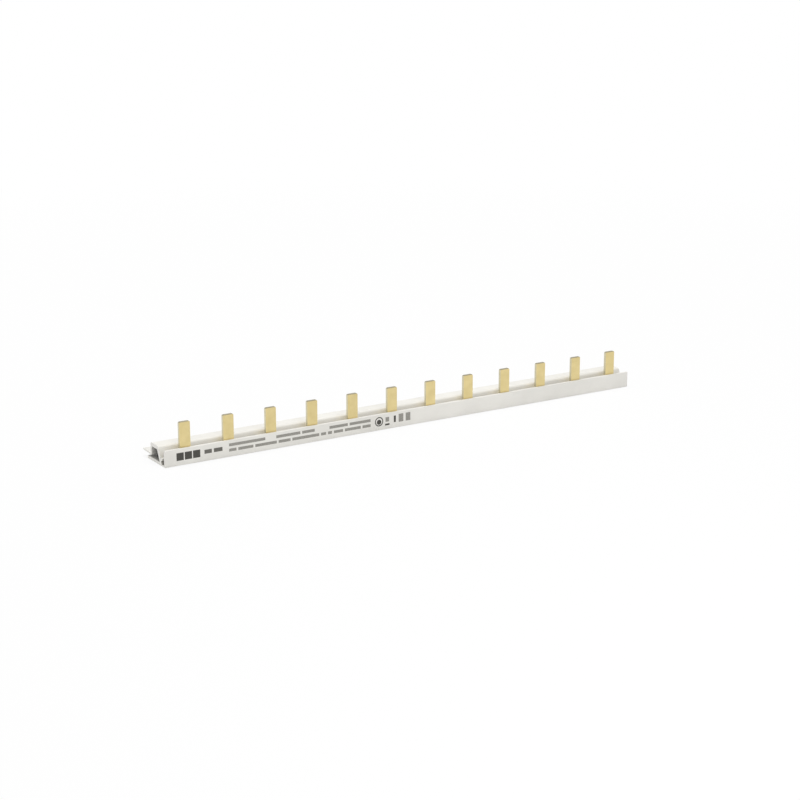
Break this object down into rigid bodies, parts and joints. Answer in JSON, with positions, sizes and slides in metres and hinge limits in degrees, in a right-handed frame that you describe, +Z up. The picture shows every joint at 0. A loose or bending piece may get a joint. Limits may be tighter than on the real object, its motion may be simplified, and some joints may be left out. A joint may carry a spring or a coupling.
{
  "type": "comb busbar",
  "caption": "Straight single-phase comb busbar: a stamped metal comb of flat upright contact blades held in an open-ended extruded plastic profile, for linking modular breakers.",
  "frame": {"origin": "middle of the bounding box's underside, on the bottom of the base plate", "axes": "+X along the row of blades, +Y from the front wall to the rear wing, +Z up along the blades"},
  "size_m": [0.2108, 0.0188, 0.016],
  "materials": {
    "profile_plastic": "satin warm grey-white extruded plastic",
    "comb_metal": "pale gold plated strip, rolled faces satin and stamped edges darker"
  },
  "bodies": {
    "root": {"insulating_profile": "profile_plastic", "contact_comb": "comb_metal"}
  },
  "joints": []
}
